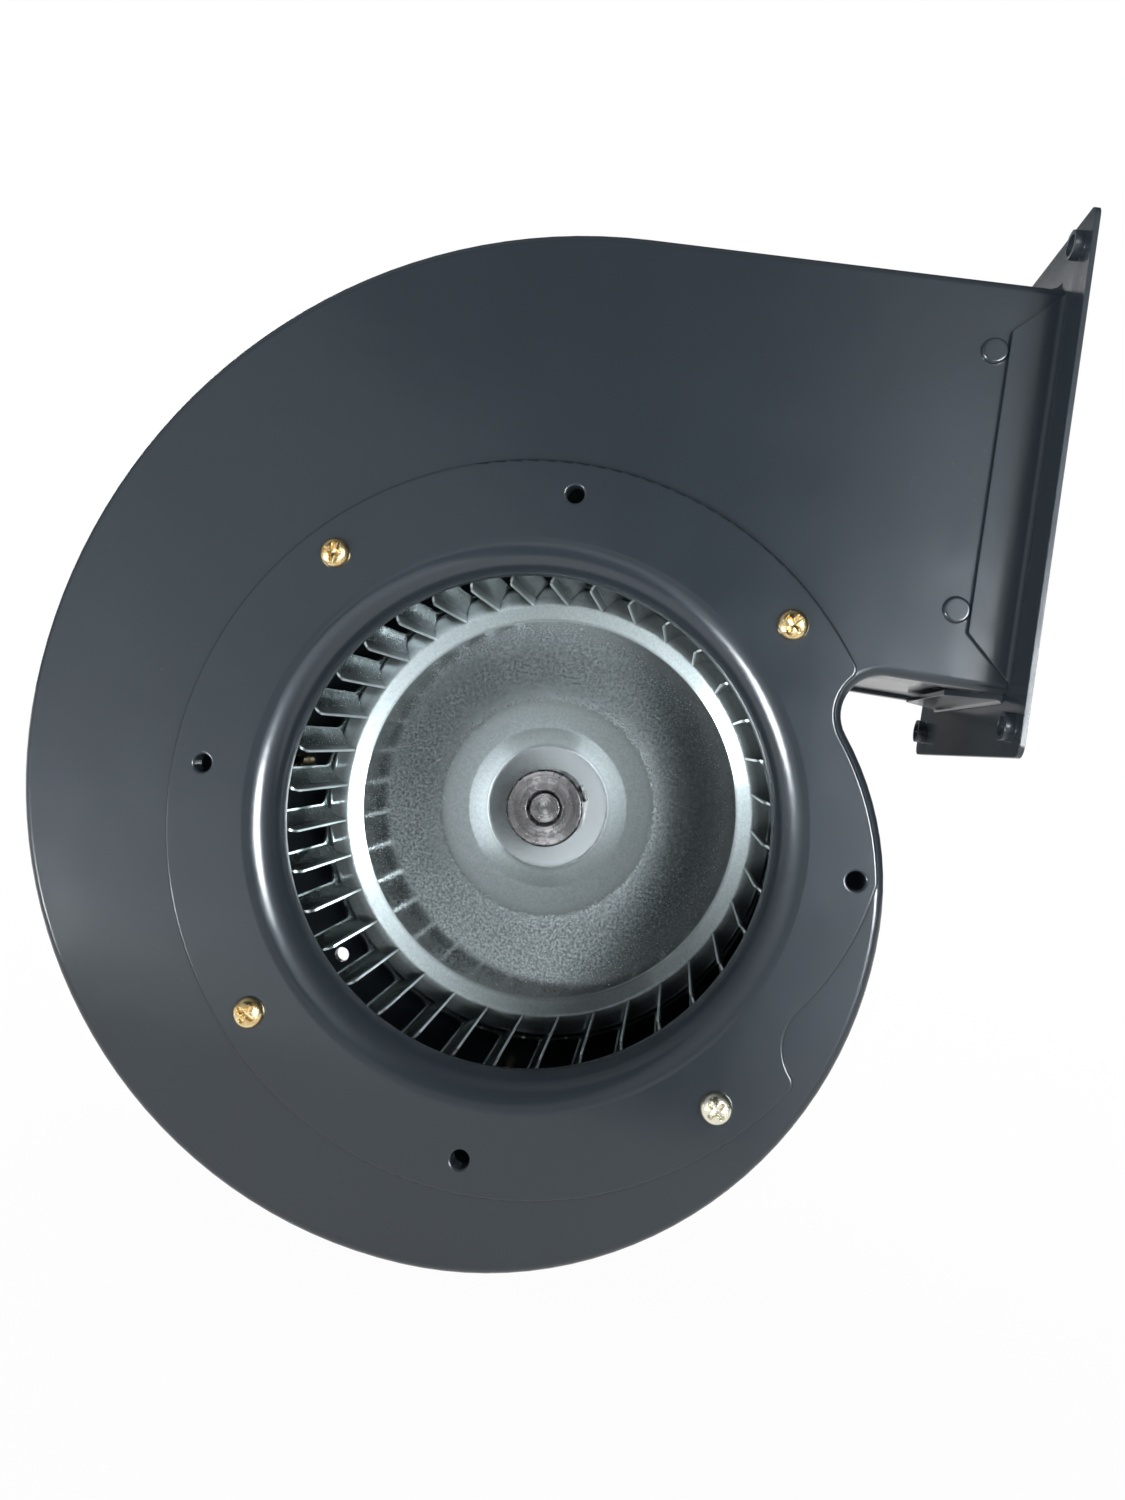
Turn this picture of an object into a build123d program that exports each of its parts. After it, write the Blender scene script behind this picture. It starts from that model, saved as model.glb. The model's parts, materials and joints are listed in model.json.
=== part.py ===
from build123d import *
import os
from math import atan2, cos, degrees, radians, sin, sqrt

# Centrifugal blower with a motor behind it, seen from its inlet side when looking along +Y.
# The shaft lies along Y, air leaves towards +X, +Z is up, and y = 0 is the front of the inlet ring.
# All sizes are in millimetres.

# Sheet and seam sizes
sheet = 1.2
ring_sheet = 1.5
flange_sheet = 1.5
wrapper_sheet = 1.0
weld_gap = 0.05
fit_gap = 0.02

# Scroll housing, a spiral drawn from four centres round the shaft, each arc ending where the next begins
spiral_step_x = 21.0
spiral_step_z = 27.0
spiral_last_step = 32.3
spiral_middle_x = -1.6
spiral_middle_z = 0.9
scroll_left_reach = 160.7
tongue_radius = 12.0
tongue_height = 48.5
duct_depth = 83.5
side_bend = 3.0
side_skirt = 8.0
outlet_reach = 136.0

# Inlet ring with its bell mouth
ring_radius = 110.0
ring_inset = 2.2
ring_corner = 3.5
ring_edge_round = 0.9
throat_radius = 75.4
bell_radius = 10.4
side_opening_radius = 88.0

# Screws on the 200 mm circle that front and back share
pitch_circle = 200.0
screw_shank_radius = 2.4
screw_clearance = 0.1
screw_head_radius = 4.75
screw_head_height = 3.0
screw_head_round = 1.7
screw_length = 10.0
drawn_hole_radius = 2.75
drawn_collar_wall = 0.8
drawn_collar_length = 5.5
collar_clearance = 0.4

# Outlet flange with four folded tabs
flange_rim = 17.5
flange_drop = 0.9
flange_corner = 3.5
flange_hole_radius = 3.0
flange_hole_margin = 8.6
flange_collar_radius = 4.2
flange_collar_length = 3.0
tab_length = 15.0
tab_slope = 13.0
bump_radius = 4.0
bump_height = 1.1
bump_inset = 22.3

# Impeller
blade_count = 36
blade_inner_radius = 73.2
blade_sheet = 0.7
blade_front = 11.8
blade_back = 60.8
blade_lead = 4.3
blade_phase = 3.6
blade_corner = 3.0
blade_entry = 15.0
band_outer_radius = 81.3
band_sheet = 0.8
band_front = 6.8
band_back = 68.4
window_front = 11.4
window_back = 61.0
window_corner = 6.0
rib_width = 1.5
disc_sheet = 1.2
disc_rim_face = 62.0
disc_face = 64.5
disc_crease_radius = 68.1
disc_shoulder_radius = 73.4
seat_depth = 67.0
seat_radius = 22.0
seat_slope_radius = 28.7
dome_radius = 39.0
dome_face = 63.6

# Hub and shaft
shaft_radius = 6.0
shaft_body_radius = 7.0
shaft_recess = 1.3
shaft_tail = 1.0
shaft_chamfer = 0.9
hub_radius = 13.7
hub_face = 57.5
hub_neck_radius = 10.0
hub_collar_radius = 12.5
hub_rear = 76.0
hub_chamfer = 0.6
set_screw_radius = 3.0
set_screw_angle = 30.0
set_screw_depth = 63.0
set_screw_proud = 0.9

# Motor mounting plate
motor_plate_sheet = 2.0
motor_spigot_radius = 28.0
shield_bolt_circle = 96.0
shield_bolt_radius = 2.9
shield_bolt_head_radius = 4.9
shield_bolt_head_height = 3.9

# Motor frame and its cores
frame_radius = 62.0
frame_wall = 3.0
frame_length = 88.0
fin_height = 4.5
fin_width = 1.8
fin_pitch = 7.5
fin_arc = 30.0
shield_thickness = 12.0
shield_spigot = 4.0
ear_radius = 6.0
ear_reach = 6.0
through_bolt_radius = 2.4
core_length = 60.0
stator_bore_radius = 33.0
slot_count = 24
slot_width = 4.6
slot_depth = 15.0
slot_bridge = 1.5
winding_reach = 10.0
air_gap = 0.4
end_ring_length = 6.0
end_ring_inner = 19.0

# Ball bearings, 12 x 32 x 10
bearing_width = 10.0
bearing_outer_radius = 16.0
ring_wall = 2.4
ball_radius = 2.9
ball_pitch_radius = 11.0
ball_count = 7
race_gap = 0.04
boss_wall = 4.0

# Cooling fan and cowl
fan_radius = 48.0
fan_hub_radius = 11.0
fan_width = 12.0
fan_disc = 2.0
fan_vane_count = 8
fan_vane_width = 1.8
fan_gap = 4.0
cowl_sheet = 1.0
cowl_length = 40.0
cowl_bend = 5.0
cowl_lap = 7.0
slot_ring_radii = (16.0, 25.0, 34.0, 43.0)
grille_slot_width = 4.5
grille_bridge = 5.0
cowl_screw_radius = 2.0
cowl_screw_head = 3.6

# Terminal box on top of the motor
box_width = 76.0
box_length = 74.0
box_height = 34.0
box_wall = 2.5
box_corner = 6.0
lid_thickness = 3.0
lid_skirt = 5.0
pad_rise = 4.5
pad_width = 58.0
gland_bore = 5.0
gland_thread_radius = 8.0
gland_nut_flats = 22.0
gland_body_length = 17.0
capacitor_radius = 13.0
capacitor_length = 52.0
block_width = 20.0
block_length = 42.0
block_height = 12.0
terminal_count = 4

# Places along the shaft that follow from the sizes above
front_face = ring_sheet
back_face = front_face + duct_depth
middle = (front_face + back_face) / 2
plate_back = back_face + motor_plate_sheet
shield_face = plate_back
frame_front = shield_face + shield_thickness
frame_back = frame_front + frame_length
rear_shield_back = frame_back + shield_thickness
core_front = (frame_front + frame_back - core_length) / 2
core_back = core_front + core_length
front_bearing = frame_front - bearing_width + shield_spigot
rear_bearing = frame_back - shield_spigot
fan_front = rear_shield_back + fan_gap
cowl_front = rear_shield_back - cowl_lap
cowl_back = cowl_front + cowl_length
frame_bore = frame_radius - frame_wall
ear_circle = 2 * (frame_radius + ear_reach)
pad_height = frame_radius + pad_rise

# Places in the scroll's own outline
centre_left = spiral_middle_x - spiral_step_x / 2
centre_right = spiral_middle_x + spiral_step_x / 2
centre_low = spiral_middle_z - spiral_step_z / 2
centre_high = spiral_middle_z + spiral_step_z / 2
centre_last = centre_left + spiral_last_step
arc_left = scroll_left_reach + centre_right
arc_bottom = arc_left - spiral_step_x
arc_right = arc_bottom - spiral_step_z
arc_last = arc_right - spiral_last_step
duct_top = centre_high + arc_left
duct_bottom = tongue_height + tongue_radius
duct_height = duct_top - duct_bottom
tongue_rise = tongue_height - centre_low
tongue_reach = centre_last + sqrt((arc_last + tongue_radius) ** 2 - tongue_rise**2)
tongue_turn = degrees(atan2(tongue_rise, tongue_reach - centre_last))
flange_back = outlet_reach - flange_sheet
duct_end = flange_back
wrapper_inset = sheet + weld_gap
duct_middle = (duct_top + duct_bottom) / 2
flange_middle = duct_middle - flange_drop
bolt_spacing_y = duct_depth + 2 * (flange_rim - flange_hole_margin)
bolt_spacing_z = duct_height + 2 * (flange_rim - flange_hole_margin)
spare = 5.0


def at_depth(depth):
    """Sketch plane across the shaft, X to the right and Z up; extruding by a minus amount goes deeper."""
    return Plane.XZ.offset(-depth)


def scroll_face(inset, end):
    """Face inside the scroll's outline, moved inwards by inset and open out to x = end."""
    with BuildLine() as outline:
        Line((centre_right, duct_top - inset), (end, duct_top - inset))
        Line((end, duct_top - inset), (end, duct_bottom + inset))
        Line((end, duct_bottom + inset), (tongue_reach, duct_bottom + inset))
        CenterArc((tongue_reach, tongue_height), tongue_radius + inset, 90, 90 + tongue_turn)
        CenterArc((centre_last, centre_low), arc_last - inset, 0, tongue_turn)
        CenterArc((centre_left, centre_low), arc_right - inset, 270, 90)
        CenterArc((centre_left, centre_high), arc_bottom - inset, 180, 90)
        CenterArc((centre_right, centre_high), arc_left - inset, 90, 90)
    make_face(outline.edges())


def ring_face():
    """Round plate cut back behind the tongue, the same above and below so that it suits either hand."""
    with BuildSketch(mode=Mode.PRIVATE) as cut_back:
        scroll_face(ring_inset, ring_radius + spare)
    Circle(ring_radius)
    add(cut_back.sketch_local, mode=Mode.INTERSECT)
    add(cut_back.sketch_local.mirror(Plane.XZ), mode=Mode.INTERSECT)


# Front side plate, pressed with a rounded edge and a skirt that laps over the wrapper
def side_plate(threaded_start, open_radius):
    with BuildPart() as room:
        with BuildSketch(at_depth(front_face + sheet)):
            scroll_face(sheet, duct_end + spare)
        extrude(amount=-(side_skirt + spare))
        rim = room.faces().sort_by(Axis.Y)[0].edges().filter_by(lambda e: e.center().X < duct_end)
        fillet(rim, side_bend - sheet)
    with BuildPart() as plate:
        with BuildSketch(at_depth(front_face)):
            scroll_face(0, duct_end)
        extrude(amount=-side_skirt)
        rim = plate.faces().sort_by(Axis.Y)[0].edges().filter_by(lambda e: e.center().X < duct_end - 1)
        fillet(rim, side_bend)
        add(room.part, mode=Mode.SUBTRACT)
        with BuildSketch(at_depth(front_face)):
            Circle(side_opening_radius)
            with PolarLocations(pitch_circle / 2, 4, threaded_start):
                Circle(screw_shank_radius + fit_gap)
            with PolarLocations(pitch_circle / 2, 4, 45 - threaded_start):
                Circle(open_radius)
        extrude(amount=-sheet, mode=Mode.SUBTRACT)
        bump_z = duct_height / 2 - bump_inset
        with BuildSketch(at_depth(front_face)):
            with Locations(
                (outlet_reach - tab_length - bump_radius, duct_middle + bump_z),
                (outlet_reach - tab_length - bump_radius, duct_middle - bump_z),
            ):
                Circle(bump_radius)
        extrude(amount=bump_height)
        fillet(plate.edges().group_by(Axis.Y)[0], bump_height * 0.8)
    return plate.part


with BuildPart() as front_side_plate:
    add(side_plate(45, drawn_hole_radius + drawn_collar_wall + collar_clearance))

with BuildPart() as back_side_plate:
    mirror(side_plate(0, drawn_hole_radius), about=Plane.XZ.offset(-middle))

# Wrapper strip, from the outlet round the tongue and the scroll and back to the outlet
with BuildPart() as scroll_wrapper:
    wrapper_start = front_face + side_bend
    with BuildSketch(at_depth(wrapper_start)):
        scroll_face(wrapper_inset, duct_end)
        with BuildSketch(mode=Mode.PRIVATE) as wrapper_room:
            scroll_face(wrapper_inset + wrapper_sheet, duct_end + spare)
        add(wrapper_room.sketch_local, mode=Mode.SUBTRACT)
    extrude(amount=-(duct_depth - 2 * side_bend))

# Inlet ring with bell mouth and four drawn holes
with BuildPart() as inlet_ring:
    bell_centre = throat_radius + bell_radius
    with BuildSketch(at_depth(0)) as ring_sketch:
        ring_face()
        corners = ring_sketch.vertices().filter_by(
            lambda v: abs(v.Y) < 0.5 or abs(sqrt(v.X**2 + v.Y**2) - ring_radius) < 0.2
        )
        fillet(corners, ring_corner)
        Circle(bell_centre, mode=Mode.SUBTRACT)
        with PolarLocations(pitch_circle / 2, 4, 45):
            Circle(screw_shank_radius + screw_clearance, mode=Mode.SUBTRACT)
    extrude(amount=-ring_sheet)
    fillet(
        inlet_ring.edges().group_by(Axis.Y)[0].filter_by(lambda e: e.length > 3 * bell_radius)
        .filter_by(lambda e: e.length < 2 * pitch_circle),
        ring_edge_round,
    )
    with BuildSketch(at_depth(0)):
        with PolarLocations(pitch_circle / 2, 4):
            Circle(drawn_hole_radius + drawn_collar_wall)
    extrude(amount=-drawn_collar_length)
    with BuildSketch(at_depth(0)):
        with PolarLocations(pitch_circle / 2, 4):
            Circle(drawn_hole_radius)
    extrude(amount=-drawn_collar_length, mode=Mode.SUBTRACT)
    mouths = inlet_ring.edges().group_by(Axis.Y)[0].filter_by(GeomType.CIRCLE)
    fillet(mouths.filter_by(lambda e: abs(e.radius - drawn_hole_radius) < 0.01), drawn_collar_wall)
    with BuildSketch(Plane.XY):
        with BuildLine():
            CenterArc((bell_centre, bell_radius), bell_radius, 180, 90)
            Line((bell_centre, 0), (bell_centre, ring_sheet))
            CenterArc((bell_centre, bell_radius), bell_radius - ring_sheet, 180, 90)
            Line((throat_radius, bell_radius), (throat_radius + ring_sheet, bell_radius))
        make_face()
    revolve(axis=Axis.Y)


def pan_head_screws(name, start_angle, face, way):
    """Four screws on the pitch circle; way is 1 for heads towards the inlet and -1 for heads behind."""
    with BuildPart() as screws:
        with BuildSketch(at_depth(face)):
            with PolarLocations(pitch_circle / 2, 4, start_angle):
                Circle(screw_head_radius)
        extrude(amount=way * screw_head_height)
        fillet(screws.edges().group_by(Axis.Y)[0 if way > 0 else -1], screw_head_round)
        with BuildSketch(at_depth(face)):
            with PolarLocations(pitch_circle / 2, 4, start_angle):
                Circle(screw_shank_radius)
        extrude(amount=-way * screw_length)
    screws.part.label = name
    return screws


inlet_ring_screws = pan_head_screws("inlet_ring_screws", 45, 0, 1)
motor_plate_screws = pan_head_screws("motor_plate_screws", 0, plate_back, -1)

# Outlet flange, cut as a window whose four tabs are folded back over the duct
with BuildPart() as outlet_flange:
    with BuildSketch(Plane.YZ.offset(flange_back)):
        with Locations((middle, flange_middle)):
            RectangleRounded(duct_depth + 2 * flange_rim, duct_height + 2 * flange_rim, flange_corner)
        with Locations((middle, duct_middle)):
            RectangleRounded(duct_depth, duct_height, side_bend, mode=Mode.SUBTRACT)
    extrude(amount=flange_sheet)
    with BuildSketch(Plane.YZ.offset(outlet_reach)):
        with Locations((middle, flange_middle)):
            with GridLocations(bolt_spacing_y, bolt_spacing_z, 2, 2):
                Circle(flange_collar_radius)
    extrude(amount=-(flange_sheet + flange_collar_length))
    tab_root = duct_height / 2 - side_bend
    for tab_start in (front_face - flange_sheet, back_face):
        with BuildSketch(at_depth(tab_start)):
            with BuildLine():
                Polyline(
                    (flange_back, duct_middle + tab_root),
                    (outlet_reach - tab_length, duct_middle + tab_root - tab_slope),
                    (outlet_reach - tab_length, duct_middle - tab_root + tab_slope),
                    (flange_back, duct_middle - tab_root),
                    close=True,
                )
            make_face()
        extrude(amount=-flange_sheet)
    side_root = duct_depth / 2 - side_bend
    for tab_start in (duct_bottom - flange_sheet, duct_top):
        with BuildSketch(Plane.XY.offset(tab_start)):
            with BuildLine():
                Polyline(
                    (flange_back, middle + side_root),
                    (outlet_reach - tab_length, middle + side_root - tab_slope),
                    (outlet_reach - tab_length, middle - side_root + tab_slope),
                    (flange_back, middle - side_root),
                    close=True,
                )
            make_face()
        extrude(amount=flange_sheet)
    folds = outlet_flange.edges().filter_by(lambda e: abs(e.center().X - flange_back) < 0.01)
    upright = folds.filter_by(Axis.Z).filter_by(lambda e: abs(e.length - 2 * tab_root) < 0.01)
    level = folds.filter_by(Axis.Y).filter_by(lambda e: abs(e.length - 2 * side_root) < 0.01)
    fillet(upright + level, flange_sheet)
    mouth = outlet_flange.faces().sort_by(Axis.X)[-1].inner_wires().edges()
    fillet(mouth, flange_sheet * 0.8)
    with BuildSketch(Plane.YZ.offset(outlet_reach)):
        with Locations((middle, flange_middle)):
            with GridLocations(bolt_spacing_y, bolt_spacing_z, 2, 2):
                Circle(flange_hole_radius)
    extrude(amount=-(flange_sheet + flange_collar_length), mode=Mode.SUBTRACT)
    hole_mouths = outlet_flange.edges().filter_by(GeomType.CIRCLE)
    hole_mouths = hole_mouths.filter_by(lambda e: abs(e.radius - flange_hole_radius) < 0.01)
    fillet(hole_mouths.filter_by(lambda e: e.center().X > outlet_reach - 0.01), flange_sheet * 0.5)

# Impeller blade cage: one strip with lanced windows, rolled to a cylinder, with every blade bent inwards
with BuildPart() as impeller_blades:
    band_inner = band_outer_radius - band_sheet
    with BuildSketch(at_depth(band_front)):
        Circle(band_outer_radius)
        Circle(band_inner, mode=Mode.SUBTRACT)
    extrude(amount=-(band_back - band_front))
    window_span = window_back - window_front
    window_width = 2 * band_outer_radius * sin(radians(180 / blade_count)) - rib_width
    window_turn = blade_phase - blade_lead + 180 / blade_count
    with BuildSketch(Plane.YZ.offset(band_inner - spare)):
        with Locations(((window_front + window_back) / 2, 0)):
            RectangleRounded(window_span, window_width, window_corner)
    window_tool = extrude(amount=2 * spare, mode=Mode.PRIVATE)
    for index in range(blade_count):
        turn = window_turn + index * 360 / blade_count
        add(window_tool.rotate(Axis.Y, -turn), mode=Mode.SUBTRACT)
    root_radius = band_outer_radius - band_sheet / 2
    root = Vector(root_radius * cos(radians(blade_lead)), -root_radius * sin(radians(blade_lead)))
    tip = Vector(blade_inner_radius, 0)
    entry = Vector(cos(radians(blade_entry)), -sin(radians(blade_entry)))
    chord = root - tip
    half_turn = radians(entry.get_angle(chord))
    blade_turn = 2 * degrees(half_turn)
    blade_bend = chord.length / (2 * sin(half_turn))
    bend_centre = tip + Vector(entry.Y, -entry.X) * blade_bend
    start_angle = degrees(atan2((root - bend_centre).Y, (root - bend_centre).X))
    with BuildSketch(mode=Mode.PRIVATE) as blade_section:
        with BuildLine():
            outer_skin = CenterArc(bend_centre, blade_bend + blade_sheet / 2, start_angle, blade_turn)
            inner_skin = CenterArc(bend_centre, blade_bend - blade_sheet / 2, start_angle, blade_turn)
            Line(outer_skin @ 0, inner_skin @ 0)
            Line(outer_skin @ 1, inner_skin @ 1)
        make_face()
    with BuildSketch(at_depth(blade_front)):
        with PolarLocations(0, blade_count, blade_phase):
            add(blade_section.sketch_local)
    extrude(amount=-(blade_back - blade_front))
    with BuildSketch(Plane.XY):
        corner_centre = (blade_inner_radius + blade_corner, blade_front + blade_corner)
        with Locations(corner_centre):
            Rectangle(blade_corner + spare, blade_corner + spare, align=Align.MAX)
            Circle(blade_corner, mode=Mode.SUBTRACT)
    revolve(axis=Axis.Y, mode=Mode.SUBTRACT)

# Front ring, folded over the front band to stiffen it
with BuildPart() as impeller_front_ring:
    ring_bore = band_inner - disc_sheet / 2
    ring_front = band_front - disc_sheet
    with BuildSketch(Plane.XY):
        with BuildLine():
            Polyline(
                (ring_bore, ring_front),
                (band_outer_radius + weld_gap + band_sheet, ring_front),
                (band_outer_radius + weld_gap + band_sheet, window_front - disc_sheet),
                (band_outer_radius + weld_gap, window_front - disc_sheet),
                (band_outer_radius + weld_gap, band_front - weld_gap),
                (ring_bore, band_front - weld_gap),
                close=True,
            )
        make_face()
    revolve(axis=Axis.Y)

# Back disc, pressed with a sunk seat for the hub, a shoulder and a rim that holds the back band
with BuildPart() as impeller_back_disc:
    rim_radius = band_inner - weld_gap
    with BuildSketch(Plane.XY):
        with BuildLine():
            front_skin = FilletPolyline(
                (hub_neck_radius + fit_gap, seat_depth),
                (seat_radius, seat_depth),
                (seat_slope_radius, dome_face + disc_sheet / 2),
                (dome_radius, dome_face),
                (disc_crease_radius, disc_face),
                (disc_shoulder_radius, disc_rim_face),
                (rim_radius, disc_rim_face),
                (rim_radius, band_back),
                radius=(1.5, 3.0, 8.0, 0.6, 1.6, 1.4),
            )
            offset(front_skin, amount=disc_sheet, side=Side.LEFT)
        make_face()
    revolve(axis=Axis.Y)

# Hub, turned, with its collar swaged over behind the disc
with BuildPart() as impeller_hub:
    with BuildSketch(Plane.XY):
        with BuildLine():
            Polyline(
                (shaft_radius + fit_gap, hub_face),
                (hub_radius, hub_face),
                (hub_radius, seat_depth),
                (hub_neck_radius, seat_depth),
                (hub_neck_radius, seat_depth + disc_sheet + fit_gap),
                (hub_collar_radius, seat_depth + disc_sheet + fit_gap),
                (hub_collar_radius, hub_rear),
                (shaft_radius + fit_gap, hub_rear),
                close=True,
            )
        make_face()
    revolve(axis=Axis.Y)
    chamfer(impeller_hub.edges().group_by(Axis.Y)[0], hub_chamfer)
    set_screw_plane = Plane(
        origin=(0, set_screw_depth, 0),
        z_dir=(cos(radians(set_screw_angle)), 0, sin(radians(set_screw_angle))),
    )
    with BuildSketch(set_screw_plane):
        Circle(set_screw_radius)
    extrude(amount=hub_radius + spare, mode=Mode.SUBTRACT)

with BuildPart() as hub_set_screw:
    set_screw_tip = shaft_radius + fit_gap
    with BuildSketch(set_screw_plane.offset(set_screw_tip)):
        Circle(set_screw_radius - fit_gap)
    extrude(amount=hub_radius + set_screw_proud - set_screw_tip)
    with BuildSketch(set_screw_plane.offset(hub_radius + set_screw_proud)):
        RegularPolygon(set_screw_radius / 2, 6)
    extrude(amount=-set_screw_radius, mode=Mode.SUBTRACT)

# Shaft, thicker between its two bearings, with a groove for the fan's retaining ring
fan_back = fan_front + fan_width
groove_floor = shaft_radius - 0.5
groove_width = 1.2
shaft_front = hub_face + shaft_recess
with BuildPart() as shaft:
    with BuildSketch(Plane.XY):
        with BuildLine():
            Polyline(
                (0, shaft_front),
                (shaft_radius, shaft_front),
                (shaft_radius, front_bearing + bearing_width),
                (shaft_body_radius, front_bearing + bearing_width),
                (shaft_body_radius, rear_bearing),
                (shaft_radius, rear_bearing),
                (shaft_radius, fan_back),
                (groove_floor, fan_back),
                (groove_floor, fan_back + groove_width),
                (shaft_radius, fan_back + groove_width),
                (shaft_radius, fan_back + groove_width + shaft_tail),
                (0, fan_back + groove_width + shaft_tail),
                close=True,
            )
        make_face()
    revolve(axis=Axis.Y)
    chamfer(shaft.edges().group_by(Axis.Y)[0] + shaft.edges().group_by(Axis.Y)[-1], shaft_chamfer)

# Motor mounting plate, the same blank as the inlet ring but closed round the motor's spigot
with BuildPart() as motor_plate:
    with BuildSketch(at_depth(back_face)) as blank:
        ring_face()
        corners = blank.vertices().filter_by(
            lambda v: abs(v.Y) < 0.5 or abs(sqrt(v.X**2 + v.Y**2) - ring_radius) < 0.2
        )
        fillet(corners, ring_corner)
    extrude(amount=-motor_plate_sheet)
    fillet(motor_plate.edges().group_by(Axis.Y)[-1], ring_edge_round)
    with BuildSketch(at_depth(back_face)):
        Circle(motor_spigot_radius)
        with PolarLocations(pitch_circle / 2, 4):
            Circle(screw_shank_radius + screw_clearance)
        with PolarLocations(pitch_circle / 2, 4, 45):
            Circle(drawn_hole_radius)
        with PolarLocations(shield_bolt_circle / 2, 4):
            Circle(shield_bolt_radius + screw_clearance)
    extrude(amount=-motor_plate_sheet, mode=Mode.SUBTRACT)

with BuildPart() as shield_bolts:
    with BuildSketch(at_depth(back_face)):
        with PolarLocations(shield_bolt_circle / 2, 4):
            RegularPolygon(shield_bolt_head_radius, 6)
    extrude(amount=shield_bolt_head_height)
    with BuildSketch(at_depth(back_face)):
        with PolarLocations(shield_bolt_circle / 2, 4):
            Circle(shield_bolt_radius)
    extrude(amount=-(motor_plate_sheet + shield_thickness / 2))

# End shields, cast cups that hold the bearings and spigot into the frame
shield_plate = 5.0
ear_length = 4.5
boss_outer = bearing_outer_radius + boss_wall
spigot_radius = frame_bore - fit_gap
lip_radius = 9.5
with BuildPart() as drive_end_shield:
    with BuildSketch(Plane.XY):
        with BuildLine():
            Polyline(
                (lip_radius, back_face),
                (motor_spigot_radius - fit_gap, back_face),
                (motor_spigot_radius - fit_gap, shield_face),
                (frame_radius, shield_face),
                (frame_radius, frame_front),
                (spigot_radius, frame_front),
                (spigot_radius, frame_front + shield_spigot),
                (spigot_radius - frame_wall, frame_front + shield_spigot),
                (spigot_radius - frame_wall, shield_face + shield_plate),
                (boss_outer, shield_face + shield_plate),
                (boss_outer, front_bearing + bearing_width),
                (bearing_outer_radius + fit_gap, front_bearing + bearing_width),
                (bearing_outer_radius + fit_gap, front_bearing),
                (lip_radius, front_bearing),
                close=True,
            )
        make_face()
    revolve(axis=Axis.Y)
    with BuildSketch(at_depth(frame_front - ear_length)):
        with PolarLocations(ear_circle / 2, 4, 45):
            SlotCenterToCenter(ear_radius, 2 * ear_radius)
    extrude(amount=-ear_length)
    with BuildSketch(at_depth(frame_front - ear_length)):
        with PolarLocations(ear_circle / 2, 4, 45):
            Circle(through_bolt_radius + fit_gap)
    extrude(amount=-ear_length, mode=Mode.SUBTRACT)
    with BuildSketch(at_depth(shield_face)):
        with PolarLocations(shield_bolt_circle / 2, 4):
            Circle(shield_bolt_radius + fit_gap)
    extrude(amount=-shield_plate, mode=Mode.SUBTRACT)

washer_room = 1.0
with BuildPart() as rear_end_shield:
    with BuildSketch(Plane.XY):
        with BuildLine():
            Polyline(
                (lip_radius, rear_shield_back),
                (frame_radius, rear_shield_back),
                (frame_radius, frame_back),
                (spigot_radius, frame_back),
                (spigot_radius, rear_bearing),
                (spigot_radius - frame_wall, rear_bearing),
                (spigot_radius - frame_wall, rear_shield_back - shield_plate),
                (boss_outer, rear_shield_back - shield_plate),
                (boss_outer, rear_bearing),
                (bearing_outer_radius + fit_gap, rear_bearing),
                (bearing_outer_radius + fit_gap, rear_bearing + bearing_width + washer_room),
                (lip_radius, rear_bearing + bearing_width + washer_room),
                close=True,
            )
        make_face()
    revolve(axis=Axis.Y)
    with BuildSketch(at_depth(frame_back)):
        with PolarLocations(ear_circle / 2, 4, 45):
            SlotCenterToCenter(ear_radius, 2 * ear_radius)
    extrude(amount=-ear_length)
    with BuildSketch(at_depth(frame_back)):
        with PolarLocations(ear_circle / 2, 4, 45):
            Circle(through_bolt_radius + screw_clearance)
    extrude(amount=-ear_length, mode=Mode.SUBTRACT)
    cowl_screw_depth = (cowl_front + rear_shield_back) / 2
    for side in range(4):
        outward = Vector(cos(radians(90 * side)), 0, sin(radians(90 * side)))
        with BuildSketch(Plane(origin=Vector(0, cowl_screw_depth, 0) + outward * boss_outer, z_dir=outward)):
            Circle(cowl_screw_radius + fit_gap)
        extrude(amount=frame_radius, mode=Mode.SUBTRACT)

with BuildPart() as through_bolts:
    with BuildSketch(at_depth(frame_back + ear_length)):
        with PolarLocations(ear_circle / 2, 4, 45):
            RegularPolygon(through_bolt_radius * 1.75, 6)
    extrude(amount=-through_bolt_radius * 1.4)
    with BuildSketch(at_depth(frame_back + ear_length)):
        with PolarLocations(ear_circle / 2, 4, 45):
            Circle(through_bolt_radius)
    extrude(amount=frame_length + 2 * ear_length)

# Motor frame, a finned tube with a flat pad for the terminal box
pad_hole_radius = 8.0
pad_screw_y = 27.0
box_middle = (frame_front + frame_back) / 2
with BuildPart() as motor_frame:
    with BuildSketch(at_depth(frame_front)):
        Circle(frame_radius)
        fin_middle = frame_radius - frame_wall / 2 + fin_height / 2
        fins_each_way = int(fin_arc // fin_pitch)
        for side in (0, 180, 270):
            for index in range(-fins_each_way, fins_each_way + 1):
                with PolarLocations(fin_middle, 1, side + index * fin_pitch):
                    Rectangle(fin_height + frame_wall, fin_width)
        with Locations((0, (pad_height + frame_bore) / 2)):
            Rectangle(pad_width, pad_height - frame_bore)
        Circle(frame_bore, mode=Mode.SUBTRACT)
    extrude(amount=-frame_length)
    with BuildSketch(Plane.XY.offset(pad_height)):
        with Locations((0, box_middle)):
            Circle(pad_hole_radius)
            with GridLocations(0, 2 * pad_screw_y, 1, 2):
                Circle(cowl_screw_radius + fit_gap)
    extrude(amount=-(pad_height - frame_bore + spare), mode=Mode.SUBTRACT)

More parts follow.
